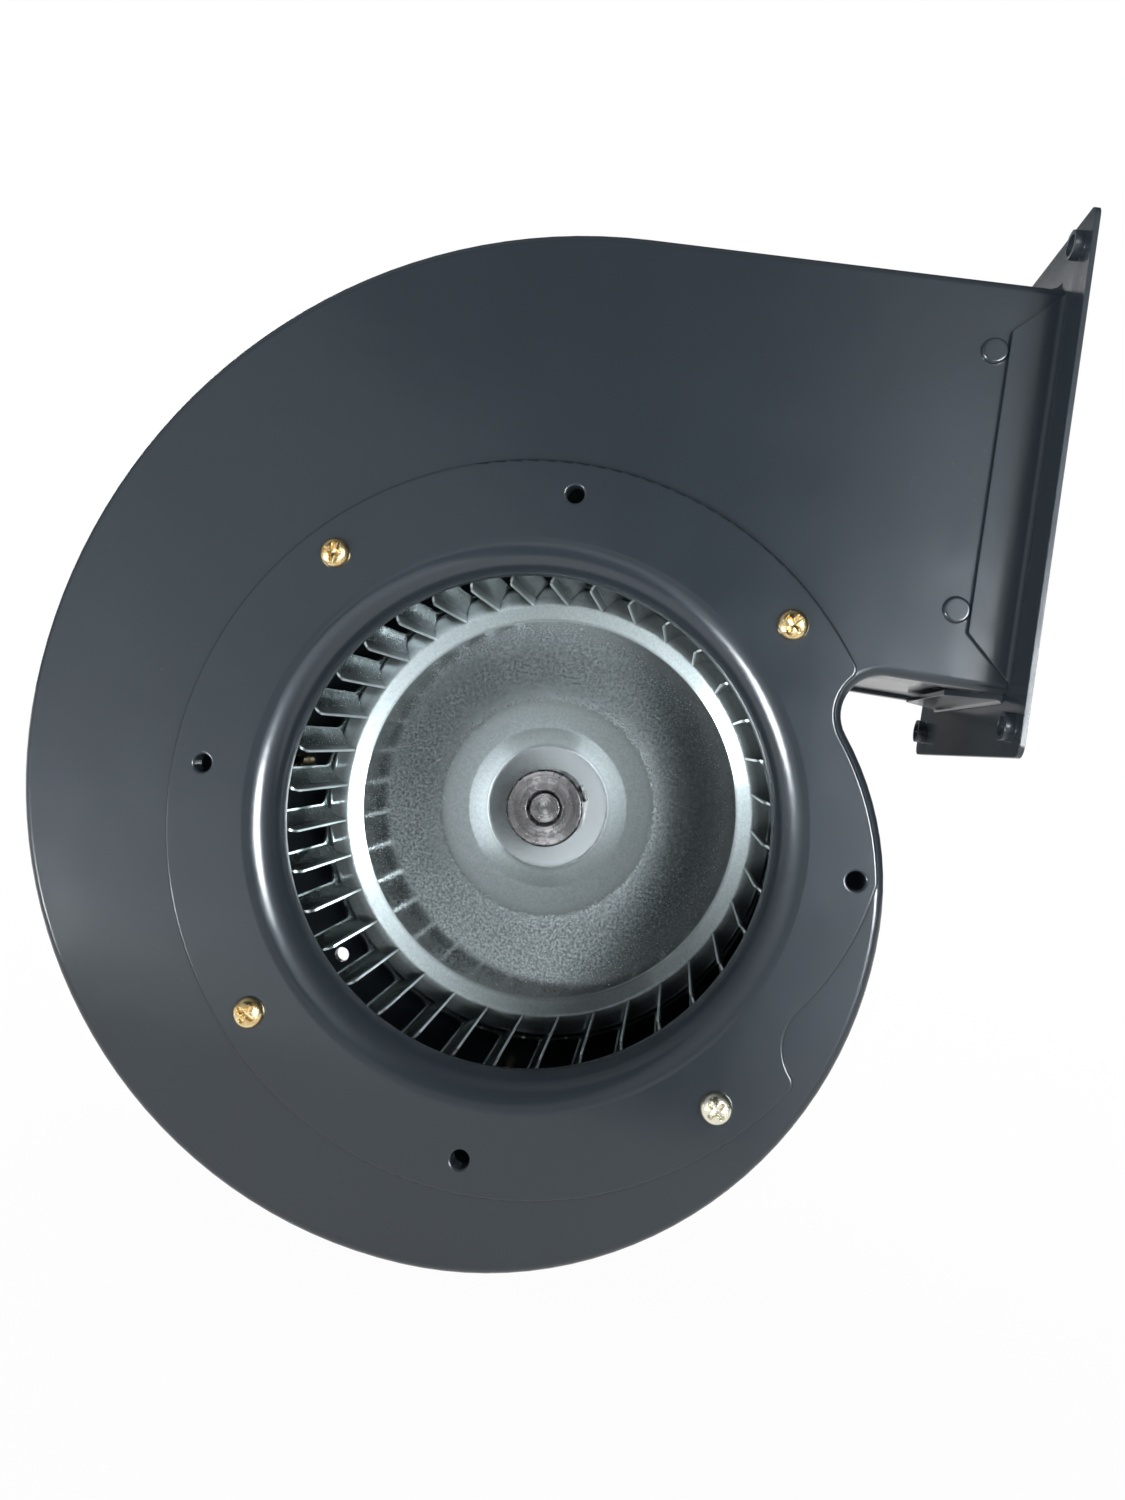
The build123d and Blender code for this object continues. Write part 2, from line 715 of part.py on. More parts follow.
# Stator core with closed slots, and windings that fill them
with BuildPart() as stator_core:
    slot_middle = stator_bore_radius + slot_bridge + slot_depth / 2
    with BuildSketch(at_depth(core_front)):
        Circle(frame_bore - fit_gap)
        Circle(stator_bore_radius, mode=Mode.SUBTRACT)
        with PolarLocations(slot_middle, slot_count):
            Rectangle(slot_depth, slot_width, mode=Mode.SUBTRACT)
    extrude(amount=-core_length)

with BuildPart() as stator_windings:
    coil_inner = stator_bore_radius + slot_bridge + fit_gap
    coil_outer = coil_inner + slot_depth - 2 * fit_gap
    for coil_start in (core_front - winding_reach - fit_gap, core_back + fit_gap):
        with BuildSketch(at_depth(coil_start)):
            Circle(coil_outer)
            Circle(coil_inner, mode=Mode.SUBTRACT)
        extrude(amount=-winding_reach)
    ends = stator_windings.edges().group_by(Axis.Y)
    fillet(ends[0] + ends[-1], winding_reach / 3)
    with BuildSketch(at_depth(core_front - fit_gap)):
        with PolarLocations(slot_middle, slot_count):
            Rectangle(slot_depth - 2 * fit_gap, slot_width - 2 * fit_gap)
    extrude(amount=-(core_length + 2 * fit_gap))

# Squirrel cage rotor
with BuildPart() as rotor_core:
    with BuildSketch(at_depth(core_front)):
        Circle(stator_bore_radius - air_gap)
        Circle(shaft_body_radius + fit_gap, mode=Mode.SUBTRACT)
    extrude(amount=-core_length)

with BuildPart() as rotor_end_rings:
    for ring_start in (core_front - end_ring_length, core_back):
        with BuildSketch(at_depth(ring_start)):
            Circle(stator_bore_radius - frame_wall)
            Circle(end_ring_inner, mode=Mode.SUBTRACT)
        extrude(amount=-end_ring_length)


# One bearing as its outer ring, its inner ring and its balls
def bearing(start, prefix):
    centre = start + bearing_width / 2
    with BuildPart() as outer:
        with BuildSketch(Plane.XY):
            with Locations((bearing_outer_radius - ring_wall / 2, centre)):
                Rectangle(ring_wall, bearing_width)
            with Locations((ball_pitch_radius, centre)):
                Circle(ball_radius + race_gap, mode=Mode.SUBTRACT)
        revolve(axis=Axis.Y)
    with BuildPart() as inner:
        with BuildSketch(Plane.XY):
            with Locations((shaft_radius + fit_gap / 2 + ring_wall / 2, centre)):
                Rectangle(ring_wall, bearing_width)
            with Locations((ball_pitch_radius, centre)):
                Circle(ball_radius + race_gap, mode=Mode.SUBTRACT)
        revolve(axis=Axis.Y)
    with BuildPart(at_depth(centre)) as balls:
        with PolarLocations(ball_pitch_radius, ball_count):
            Sphere(ball_radius)
    return {prefix + "_outer_ring": outer, prefix + "_inner_ring": inner, prefix + "_balls": balls}


with BuildPart() as preload_washer:
    washer_start = rear_bearing + bearing_width + washer_room / 10
    with BuildSketch(at_depth(washer_start)):
        Circle(bearing_outer_radius - fit_gap)
        Circle(bearing_outer_radius - ring_wall, mode=Mode.SUBTRACT)
    extrude(amount=-washer_room * 0.8)

# Cooling fan behind the motor, with its retaining ring
with BuildPart() as cooling_fan:
    with BuildSketch(at_depth(fan_front)):
        Circle(fan_radius)
    extrude(amount=-fan_disc)
    with BuildSketch(at_depth(fan_front)):
        Circle(fan_hub_radius)
    extrude(amount=-fan_width)
    vane_length = fan_radius - fan_hub_radius + 1
    with BuildSketch(at_depth(fan_front)):
        with PolarLocations(fan_radius - vane_length / 2, fan_vane_count):
            Rectangle(vane_length, fan_vane_width)
    extrude(amount=-fan_width)
    with BuildSketch(at_depth(fan_front)):
        Circle(shaft_radius + fit_gap)
    extrude(amount=-fan_width, mode=Mode.SUBTRACT)

with BuildPart() as fan_retaining_ring:
    with BuildSketch(at_depth(fan_back + fit_gap)):
        Circle(shaft_radius + ring_wall)
        Circle(groove_floor + fit_gap, mode=Mode.SUBTRACT)
        with Locations((0, shaft_radius)):
            Rectangle(ring_wall, shaft_radius, mode=Mode.SUBTRACT)
    extrude(amount=-(groove_width - 2 * fit_gap))

# Fan cowl with rings of slots in its end
with BuildPart() as fan_cowl:
    cowl_inner = frame_radius + weld_gap
    with BuildSketch(Plane.XY):
        with BuildLine():
            cowl_skin = FilletPolyline(
                (cowl_inner, cowl_front),
                (cowl_inner, cowl_back - cowl_sheet),
                (0, cowl_back - cowl_sheet),
                radius=cowl_bend,
            )
            offset(cowl_skin, amount=cowl_sheet, side=Side.RIGHT)
        make_face()
    revolve(axis=Axis.Y)
    with BuildSketch(at_depth(cowl_back)):
        for slot_radius in reversed(slot_ring_radii):
            Circle(slot_radius + grille_slot_width / 2)
            Circle(slot_radius - grille_slot_width / 2, mode=Mode.SUBTRACT)
        Rectangle(2 * frame_radius, grille_bridge, mode=Mode.SUBTRACT)
        Rectangle(grille_bridge, 2 * frame_radius, mode=Mode.SUBTRACT)
    extrude(amount=2 * cowl_sheet, mode=Mode.SUBTRACT)
    for side in range(4):
        outward = Vector(cos(radians(90 * side)), 0, sin(radians(90 * side)))
        with BuildSketch(Plane(origin=Vector(0, cowl_screw_depth, 0) + outward * boss_outer, z_dir=outward)):
            Circle(cowl_screw_radius + screw_clearance)
        extrude(amount=frame_radius, mode=Mode.SUBTRACT)

with BuildPart() as cowl_screws:
    for side in range(4):
        outward = Vector(cos(radians(90 * side)), 0, sin(radians(90 * side)))
        seat_reach = cowl_inner + cowl_sheet + fit_gap
        seat = Plane(origin=Vector(0, cowl_screw_depth, 0) + outward * seat_reach, z_dir=outward)
        with BuildSketch(seat):
            Circle(cowl_screw_head)
        extrude(amount=cowl_screw_radius)
        with BuildSketch(seat):
            Circle(cowl_screw_radius)
        extrude(amount=-(frame_wall + cowl_sheet))

# Terminal box on the frame's pad, with its lid, screws, gland, terminals and capacitor
box_floor = pad_height + box_wall
box_top = pad_height + box_height
post_radius = 4.0
post_x = box_width / 2 - box_wall - post_radius + 1
post_y = box_length / 2 - box_wall - post_radius + 1
lid_screw_radius = 1.9
gland_height = pad_height + box_height / 2
gland_y = box_middle + box_length / 8
with BuildPart() as terminal_box:
    with BuildSketch(Plane.XY.offset(pad_height)):
        with Locations((0, box_middle)):
            RectangleRounded(box_width, box_length, box_corner)
    extrude(amount=box_height)
    with BuildSketch(Plane.XY.offset(box_floor)):
        with Locations((0, box_middle)):
            RectangleRounded(box_width - 2 * box_wall, box_length - 2 * box_wall, box_corner - box_wall)
    extrude(amount=box_height, mode=Mode.SUBTRACT)
    with BuildSketch(Plane.XY.offset(box_floor)):
        with Locations((0, box_middle)):
            with GridLocations(2 * post_x, 2 * post_y, 2, 2):
                Circle(post_radius)
    extrude(amount=box_height - box_wall - lid_skirt - 1)
    with BuildSketch(Plane.XY.offset(box_floor)):
        with Locations((0, box_middle)):
            with GridLocations(2 * post_x, 2 * post_y, 2, 2):
                Circle(lid_screw_radius + fit_gap)
    extrude(amount=box_height, mode=Mode.SUBTRACT)
    with BuildSketch(Plane.XY.offset(pad_height)):
        with Locations((0, box_middle)):
            Circle(pad_hole_radius)
            with GridLocations(0, 2 * pad_screw_y, 1, 2):
                Circle(cowl_screw_radius + screw_clearance)
    extrude(amount=box_wall, mode=Mode.SUBTRACT)
    with BuildSketch(Plane.YZ.offset(-box_width / 2)):
        with Locations((gland_y, gland_height)):
            Circle(gland_thread_radius + screw_clearance)
    extrude(amount=box_wall, mode=Mode.SUBTRACT)

with BuildPart() as terminal_box_lid:
    with BuildSketch(Plane.XY.offset(box_top)):
        with Locations((0, box_middle)):
            RectangleRounded(box_width, box_length, box_corner)
    extrude(amount=lid_thickness)
    fillet(terminal_box_lid.edges().group_by(Axis.Z)[-1], lid_thickness / 2)
    inner_width = box_width - 2 * box_wall - 4 * screw_clearance
    inner_length = box_length - 2 * box_wall - 4 * screw_clearance
    with BuildSketch(Plane.XY.offset(box_top - lid_skirt)):
        with Locations((0, box_middle)):
            RectangleRounded(inner_width, inner_length, box_corner - box_wall)
            Rectangle(inner_width - 2 * box_wall, inner_length - 2 * box_wall, mode=Mode.SUBTRACT)
    extrude(amount=lid_skirt)
    with BuildSketch(Plane.XY.offset(box_top - lid_skirt)):
        with Locations((0, box_middle)):
            with GridLocations(2 * post_x, 2 * post_y, 2, 2):
                Circle(lid_screw_radius + screw_clearance)
    extrude(amount=lid_skirt + lid_thickness, mode=Mode.SUBTRACT)

with BuildPart() as lid_screws:
    with BuildSketch(Plane.XY.offset(box_top + lid_thickness)):
        with Locations((0, box_middle)):
            with GridLocations(2 * post_x, 2 * post_y, 2, 2):
                Circle(lid_screw_radius * 1.9)
    extrude(amount=lid_screw_radius * 1.2)
    fillet(lid_screws.edges().group_by(Axis.Z)[-1], lid_screw_radius * 0.6)
    with BuildSketch(Plane.XY.offset(box_top + lid_thickness)):
        with Locations((0, box_middle)):
            with GridLocations(2 * post_x, 2 * post_y, 2, 2):
                Circle(lid_screw_radius)
    extrude(amount=-(lid_thickness + lid_skirt + 2 * post_radius))

with BuildPart() as box_screws:
    with BuildSketch(Plane.XY.offset(box_floor)):
        with Locations((0, box_middle)):
            with GridLocations(0, 2 * pad_screw_y, 1, 2):
                Circle(cowl_screw_head)
    extrude(amount=cowl_screw_radius)
    with BuildSketch(Plane.XY.offset(box_floor)):
        with Locations((0, box_middle)):
            with GridLocations(0, 2 * pad_screw_y, 1, 2):
                Circle(cowl_screw_radius)
    extrude(amount=-(box_wall + frame_wall))

with BuildPart() as terminal_block:
    block_x = -box_width / 2 + box_wall + 2 * post_radius + block_width / 2
    with BuildSketch(Plane.XY.offset(box_floor)):
        with Locations((block_x, box_middle)):
            Rectangle(block_width, block_length)
    extrude(amount=block_height)
    with BuildSketch(Plane.XY.offset(box_floor + block_height)):
        with Locations((block_x, box_middle)):
            with GridLocations(0, block_length / terminal_count, 1, terminal_count - 1):
                Rectangle(block_width, box_wall / 2)
    extrude(amount=block_height / 3)

with BuildPart() as terminal_studs:
    with BuildSketch(Plane.XY.offset(box_floor + block_height)):
        with Locations((block_x, box_middle)):
            with GridLocations(block_width / 2, block_length / terminal_count, 2, terminal_count):
                RegularPolygon(3.2, 6)
    extrude(amount=2.4)

with BuildPart() as capacitor:
    capacitor_x = box_width / 2 - box_wall - capacitor_radius - fit_gap
    capacitor_height = box_floor + capacitor_radius + fit_gap
    with BuildSketch(at_depth(box_middle - capacitor_length / 2)):
        with Locations((capacitor_x, capacitor_height)):
            Circle(capacitor_radius)
    extrude(amount=-capacitor_length)
    fillet(capacitor.edges(), 1.5)

gland_plane = Plane(origin=(-box_width / 2, gland_y, gland_height), z_dir=(-1, 0, 0))
with BuildPart() as cable_gland:
    with BuildSketch(gland_plane):
        RegularPolygon(gland_nut_flats / 2, 6, major_radius=False)
    extrude(amount=gland_body_length / 3)
    with BuildSketch(gland_plane):
        Circle(gland_nut_flats / 2)
    extrude(amount=gland_body_length)
    fillet(cable_gland.edges().group_by(Axis.X)[0], gland_body_length / 6)
    with BuildSketch(gland_plane):
        Circle(gland_thread_radius)
    extrude(amount=-(box_wall + post_radius + 1))
    with BuildSketch(gland_plane.offset(gland_body_length)):
        Circle(gland_bore)
    extrude(amount=-(gland_body_length + box_wall + 2 * post_radius), mode=Mode.SUBTRACT)

with BuildPart() as gland_locknut:
    with BuildSketch(gland_plane.offset(-box_wall)):
        RegularPolygon(gland_nut_flats / 2, 6, major_radius=False, rotation=30)
        Circle(gland_thread_radius + fit_gap, mode=Mode.SUBTRACT)
    extrude(amount=-post_radius)

parts = {
    "front_side_plate": front_side_plate,
    "back_side_plate": back_side_plate,
    "scroll_wrapper": scroll_wrapper,
    "inlet_ring": inlet_ring,
    "inlet_ring_screws": inlet_ring_screws,
    "outlet_flange": outlet_flange,
    "impeller_blades": impeller_blades,
    "impeller_front_ring": impeller_front_ring,
    "impeller_back_disc": impeller_back_disc,
    "impeller_hub": impeller_hub,
    "hub_set_screw": hub_set_screw,
    "shaft": shaft,
    "motor_plate": motor_plate,
    "motor_plate_screws": motor_plate_screws,
    "shield_bolts": shield_bolts,
    "drive_end_shield": drive_end_shield,
    "rear_end_shield": rear_end_shield,
    "through_bolts": through_bolts,
    "motor_frame": motor_frame,
    "stator_core": stator_core,
    "stator_windings": stator_windings,
    "rotor_core": rotor_core,
    "rotor_end_rings": rotor_end_rings,
    **bearing(front_bearing, "front_bearing"),
    **bearing(rear_bearing, "rear_bearing"),
    "preload_washer": preload_washer,
    "cooling_fan": cooling_fan,
    "fan_retaining_ring": fan_retaining_ring,
    "fan_cowl": fan_cowl,
    "cowl_screws": cowl_screws,
    "terminal_box": terminal_box,
    "terminal_box_lid": terminal_box_lid,
    "lid_screws": lid_screws,
    "box_screws": box_screws,
    "terminal_block": terminal_block,
    "terminal_studs": terminal_studs,
    "capacitor": capacitor,
    "cable_gland": cable_gland,
    "gland_locknut": gland_locknut,
}
os.makedirs("parts", exist_ok=True)
for name, piece in parts.items():
    piece.part.label = name
    export_step(piece.part, f"parts/{name}.step")
    print(name, len(piece.part.solids()), round(piece.part.volume))
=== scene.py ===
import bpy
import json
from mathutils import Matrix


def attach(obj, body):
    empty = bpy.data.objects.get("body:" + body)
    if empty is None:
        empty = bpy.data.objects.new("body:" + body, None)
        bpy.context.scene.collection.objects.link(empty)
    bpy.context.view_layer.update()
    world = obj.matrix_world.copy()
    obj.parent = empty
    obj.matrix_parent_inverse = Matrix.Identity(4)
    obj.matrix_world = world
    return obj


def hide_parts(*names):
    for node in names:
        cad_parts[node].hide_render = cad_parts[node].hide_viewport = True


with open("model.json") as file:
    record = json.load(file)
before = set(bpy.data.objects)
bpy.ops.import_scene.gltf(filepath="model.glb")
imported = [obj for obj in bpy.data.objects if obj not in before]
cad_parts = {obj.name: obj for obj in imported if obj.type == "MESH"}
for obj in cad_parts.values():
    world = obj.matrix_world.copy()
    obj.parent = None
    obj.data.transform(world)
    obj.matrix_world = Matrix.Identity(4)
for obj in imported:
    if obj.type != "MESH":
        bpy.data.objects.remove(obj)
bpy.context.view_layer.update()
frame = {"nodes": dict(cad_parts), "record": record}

import json
import math
import bmesh
import bpy
import numpy as np
from mathutils import Matrix, Vector

nodes = frame["nodes"]
mm = 0.001


# materials: every one reads Object coordinates, so a pattern stays on its piece
def makeNodes(name):
    material = bpy.data.materials.new(name)
    material.use_nodes = True
    tree = material.node_tree
    shader = tree.nodes["Principled BSDF"]
    place = tree.nodes.new("ShaderNodeTexCoord")
    return material, tree, shader, place.outputs["Object"]


def addNoise(tree, coords, scale, detail=2.0, roughness=0.5, stretch=None, turn=None):
    # soft random value between 0 and 1, scale in spots per metre, stretched or turned for marks with a direction
    if stretch:
        mapping = tree.nodes.new("ShaderNodeMapping")
        mapping.inputs["Scale"].default_value = stretch
        if turn:
            mapping.inputs["Rotation"].default_value = [math.radians(angle) for angle in turn]
        tree.links.new(coords, mapping.inputs["Vector"])
        coords = mapping.outputs["Vector"]
    noise = tree.nodes.new("ShaderNodeTexNoise")
    noise.inputs["Scale"].default_value = scale
    noise.inputs["Detail"].default_value = detail
    noise.inputs["Roughness"].default_value = roughness
    tree.links.new(coords, noise.inputs["Vector"])
    return noise.outputs["Fac"]


def addRamp(tree, value, stops):
    # steps from one colour or grey to the next as the value rises through the stops
    ramp = tree.nodes.new("ShaderNodeValToRGB")
    elements = ramp.color_ramp.elements
    while len(elements) < len(stops):
        elements.new(0.5)
    for element, (position, colour) in zip(elements, stops):
        element.position = position
        element.color = (*colour, 1) if isinstance(colour, tuple) else (colour, colour, colour, 1)
    tree.links.new(value, ramp.inputs["Fac"])
    return ramp.outputs["Color"]


def addMath(tree, kind, first, second=0.0, third=0.0):
    # one sum on values or sockets
    node = tree.nodes.new("ShaderNodeMath")
    node.operation = kind
    for socket, value in zip(node.inputs, (first, second, third)):
        if isinstance(value, (int, float)):
            socket.default_value = value
        else:
            tree.links.new(value, socket)
    return node.outputs[0]


def addMix(tree, factor, first, second):
    # first colour where the factor is 0, second where it is 1
    node = tree.nodes.new("ShaderNodeMix")
    node.data_type = "RGBA"
    for socket, value in zip((node.inputs[0], node.inputs[6], node.inputs[7]), (factor, first, second)):
        if isinstance(value, tuple):
            socket.default_value = (*value, 1)
        elif isinstance(value, (int, float)):
            socket.default_value = value
        else:
            tree.links.new(value, socket)
    return node.outputs[2]


def addBump(tree, shader, height, distance, strength=1.0, edge=0.0):
    # fine relief as a bump, over edges that are softened by a small radius
    bump = tree.nodes.new("ShaderNodeBump")
    bump.inputs["Distance"].default_value = distance
    bump.inputs["Strength"].default_value = strength
    tree.links.new(height, bump.inputs["Height"])
    if edge:
        soften = tree.nodes.new("ShaderNodeBevel")
        soften.samples = 6
        soften.inputs["Radius"].default_value = edge
        tree.links.new(soften.outputs["Normal"], bump.inputs["Normal"])
    tree.links.new(bump.outputs["Normal"], shader.inputs["Normal"])


def addRadius(tree, coords):
    # distance from the shaft axis, in metres
    split = tree.nodes.new("ShaderNodeSeparateXYZ")
    tree.links.new(coords, split.inputs[0])
    squares = addMath(tree, "MULTIPLY", split.outputs["X"], split.outputs["X"])
    squares = addMath(tree, "MULTIPLY_ADD", split.outputs["Z"], split.outputs["Z"], squares)
    return addMath(tree, "SQRT", squares), split


def paintMaterial():
    look = {
        "base": (0.034, 0.045, 0.056),
        "chalky": (0.038, 0.050, 0.062),
        "dust": (0.20, 0.21, 0.22),
        "scratch": (0.16, 0.17, 0.18),
        "specks": 1500.0,     # dust specks per metre
        "hairlines": [((14, 900, 500), (0, 35, 0)), ((11, 700, 620), (0, -62, 0))],  # stretch and turn of each set
        "peel": 330.0,        # orange peel, bumps per metre
        "ripple": 70.0,       # slow waves of the sheet, and how much higher than the peel they are
        "rippleHeight": 6.0,
        "relief": 0.000018,
        "edge": 0.0004,
        "roughness": (0.115, 0.16),  # smoothest, and what the smears add
    }
    material, tree, shader, coords = makeNodes("housingPaint")
    clouds = addRamp(tree, addNoise(tree, coords, 9, 3), [(0.35, 0.0), (0.7, 1.0)])
    tone = addMix(tree, clouds, look["base"], look["chalky"])
    dusty = addRamp(tree, addNoise(tree, coords, 22, 3), [(0.52, 0.0), (0.75, 0.55)])
    specks = addRamp(tree, addNoise(tree, coords, look["specks"], 1), [(0.77, 0.0), (0.80, 1.0)])
    tone = addMix(tree, addMath(tree, "MULTIPLY", specks, dusty), tone, look["dust"])
    for stretch, turn in look["hairlines"]:
        lines = addRamp(tree, addNoise(tree, coords, 1, 1, stretch=stretch, turn=turn), [(0.80, 0.0), (0.83, 1.0)])
        where = addRamp(tree, addNoise(tree, coords, 16, 2), [(0.56, 0.0), (0.66, 0.6)])
        tone = addMix(tree, addMath(tree, "MULTIPLY", lines, where), tone, look["scratch"])
    tree.links.new(tone, shader.inputs["Base Color"])
    smoothest, added = look["roughness"]
    rough = addMath(tree, "MULTIPLY_ADD", addNoise(tree, coords, 40, 4), added, smoothest)
    tree.links.new(rough, shader.inputs["Roughness"])
    ripple, peel = addNoise(tree, coords, look["ripple"], 1), addNoise(tree, coords, look["peel"], 2)
    waves = addMath(tree, "MULTIPLY_ADD", ripple, look["rippleHeight"], peel)
    addBump(tree, shader, waves, look["relief"], 1.0, look["edge"])
    return material


def galvanisedMaterial():
    # Zinc grain seen by two lobes: a fairly sharp mirror and a wide sheen. The share of the sheen is small on the
    # flat of the back disc and larger where the sheet is drawn or bent. Distances from the shaft in seatRim and share
    # are in tenths of a metre.
    look = {
        "grain": 1100.0,      # spots per metre
        "light": (0.35, 0.385, 0.39),
        "dark": (0.10, 0.118, 0.122),
        "mirror": (0.08, 0.04),    # roughness of the mirror: smoothest, and what the clouds add
        "relief": 0.000003,
        "sheen": 0.52,             # roughness of the sheen, and its own colour
        "sheenTone": (0.40, 0.45, 0.46),
        "seatTone": (0.60, 0.65, 0.66),  # the hub's seat is brighter zinc
        "seatRim": [(0.205, 1.0), (0.235, 0.0)],
        "bareSteelAndHighlight": (0.85, 0.9, 0.9),     # bare steel at the blades' inner edges, painted brighter as a highlight for the glint on their thin edges
        "bladeTip": (0.0731, 0.0006, 0.061),  # their radius, half the width of the bright band, how far back it goes
        "share": [
            (0.205, 0.07), (0.235, 0.42), (0.29, 0.3), (0.36, 0.26), (0.46, 0.04), (0.55, 0.04), (0.64, 0.2),
            (0.675, 0.22), (0.69, 0.65), (0.73, 0.65), (0.76, 0.25),
        ],
    }
    material, tree, shader, coords = makeNodes("galvanisedSteel")
    grains = addNoise(tree, coords, look["grain"], 4, 0.75)
    clouds = addNoise(tree, coords, 60, 3)
    tone = addMix(tree, addRamp(tree, grains, [(0.35, 0.0), (0.65, 1.0)]), look["dark"], look["light"])
    tone = addMix(tree, addRamp(tree, clouds, [(0.4, 0.0), (0.75, 0.2)]), tone, look["dark"])
    radius, split = addRadius(tree, coords)
    tenths = addMath(tree, "MULTIPLY", radius, 10.0)
    tone = addMix(tree, addRamp(tree, tenths, look["seatRim"]), tone, look["seatTone"])
    # a band at the blades' inner edges: partly bare sheared steel, partly a painted highlight standing in for the
    # glint on the thin edges; the sheen there takes the same bright colour
    tip, band, depth = look["bladeTip"]
    bareEdgeAndHighlight = addMath(tree, "COMPARE", radius, tip, band)
    bareEdgeAndHighlight = addMath(tree, "MULTIPLY", bareEdgeAndHighlight, addMath(tree, "LESS_THAN", split.outputs["Y"], depth))
    tone = addMix(tree, bareEdgeAndHighlight, tone, look["bareSteelAndHighlight"])
    tree.links.new(tone, shader.inputs["Base Color"])
    shader.inputs["Metallic"].default_value = 1.0
    smoothest, added = look["mirror"]
    tree.links.new(addMath(tree, "MULTIPLY_ADD", clouds, added, smoothest), shader.inputs["Roughness"])
    addBump(tree, shader, grains, look["relief"], 1.0)
    sheen = tree.nodes.new("ShaderNodeBsdfPrincipled")
    sheenTone = addMix(tree, addMath(tree, "MAXIMUM", bareEdgeAndHighlight, 0.35), look["sheenTone"], tone)
    tree.links.new(sheenTone, sheen.inputs["Base Color"])
    sheen.inputs["Metallic"].default_value = 1.0
    sheen.inputs["Roughness"].default_value = look["sheen"]
    tree.links.new(shader.inputs["Normal"].links[0].from_socket, sheen.inputs["Normal"])
    both = tree.nodes.new("ShaderNodeMixShader")
    tree.links.new(addRamp(tree, tenths, look["share"]), both.inputs[0])
    tree.links.new(shader.outputs[0], both.inputs[1])
    tree.links.new(sheen.outputs[0], both.inputs[2])
    tree.links.new(both.outputs[0], tree.nodes["Material Output"].inputs["Surface"])
    return material


def turnedMaterial():
    # rings left by the lathe: noise read along the distance from the axis alone
    look = {
        "light": (0.30, 0.29, 0.29),
        "dark": (0.15, 0.145, 0.15),
        "rings": 900.0,            # per metre of radius
        "around": 0.05,            # how much a ring changes on its way round
        "relief": 0.00005,
        "edge": 0.0002,
        "roughness": (0.12, 0.3),  # smoothest, and what the smears add
    }
    material, tree, shader, coords = makeNodes("turnedSteel")
    radius, split = addRadius(tree, coords)
    ringPlace = tree.nodes.new("ShaderNodeCombineXYZ")
    tree.links.new(radius, ringPlace.inputs["X"])
    tree.links.new(addMath(tree, "MULTIPLY", split.outputs["X"], look["around"]), ringPlace.inputs["Y"])
    tree.links.new(addMath(tree, "MULTIPLY", split.outputs["Z"], look["around"]), ringPlace.inputs["Z"])
    rings = addNoise(tree, ringPlace.outputs[0], look["rings"], 3, 0.7)
    smears = addNoise(tree, coords, 260, 3)
    tone = addMix(tree, addRamp(tree, rings, [(0.35, 0.0), (0.65, 1.0)]), look["dark"], look["light"])
    tree.links.new(tone, shader.inputs["Base Color"])
    shader.inputs["Metallic"].default_value = 1.0
    shader.inputs["Anisotropic"].default_value = 0.6
    tangent = tree.nodes.new("ShaderNodeTangent")
    tangent.direction_type = "RADIAL"
    tangent.axis = "Y"
    tree.links.new(tangent.outputs[0], shader.inputs["Tangent"])
    smoothest, added = look["roughness"]
    tree.links.new(addMath(tree, "MULTIPLY_ADD", smears, added, smoothest), shader.inputs["Roughness"])
    addBump(tree, shader, rings, look["relief"], 1.0, look["edge"])
    return material


def zincMaterial():
    # yellow passivated zinc in two tones, thinner and silvery on the screw at the lower right
    look = {
        "light": (0.86, 0.72, 0.42),
        "dark": (0.66, 0.47, 0.22),
        "silver": (0.80, 0.79, 0.68),
        "relief": 0.00003,
        "roughness": (0.05, 0.3),  # smoothest, and what the stains add
    }
    material, tree, shader, coords = makeNodes("yellowZinc")
    stains = addRamp(tree, addNoise(tree, coords, 420, 3), [(0.38, 0.0), (0.66, 1.0)])
    tone = addMix(tree, stains, look["dark"], look["light"])
    split = tree.nodes.new("ShaderNodeSeparateXYZ")
    tree.links.new(coords, split.inputs[0])
    corner = addMath(tree, "SUBTRACT", split.outputs["X"], split.outputs["Z"])
    tone = addMix(tree, addRamp(tree, corner, [(0.12, 0.0), (0.13, 0.85)]), tone, look["silver"])
    tree.links.new(tone, shader.inputs["Base Color"])
    shader.inputs["Metallic"].default_value = 1.0
    smoothest, added = look["roughness"]
    rough = addMath(tree, "MULTIPLY_ADD", addNoise(tree, coords, 300, 3), added, smoothest)
    tree.links.new(rough, shader.inputs["Roughness"])
    addBump(tree, shader, addNoise(tree, coords, 900, 2), look["relief"], 1.0)
    return material


def plainFinish(name, light, dark, roughness, scale, stretch=None, metallic=1.0, bump=0.00002, edge=0.0003):
    # two near colours mixed by fine noise, with the same noise as slight relief
    material, tree, shader, coords = makeNodes(name)
    grains = addNoise(tree, coords, scale, 3, 0.6, stretch)
    tone = addMix(tree, addRamp(tree, grains, [(0.3, 0.0), (0.7, 1.0)]), dark, light)
    tree.links.new(tone, shader.inputs["Base Color"])
    shader.inputs["Metallic"].default_value = metallic
    rough = addMath(tree, "MULTIPLY_ADD", addNoise(tree, coords, scale / 8, 3), 0.2, roughness - 0.1)
    tree.links.new(rough, shader.inputs["Roughness"])
    addBump(tree, shader, grains, bump, 0.5, edge)
    return material


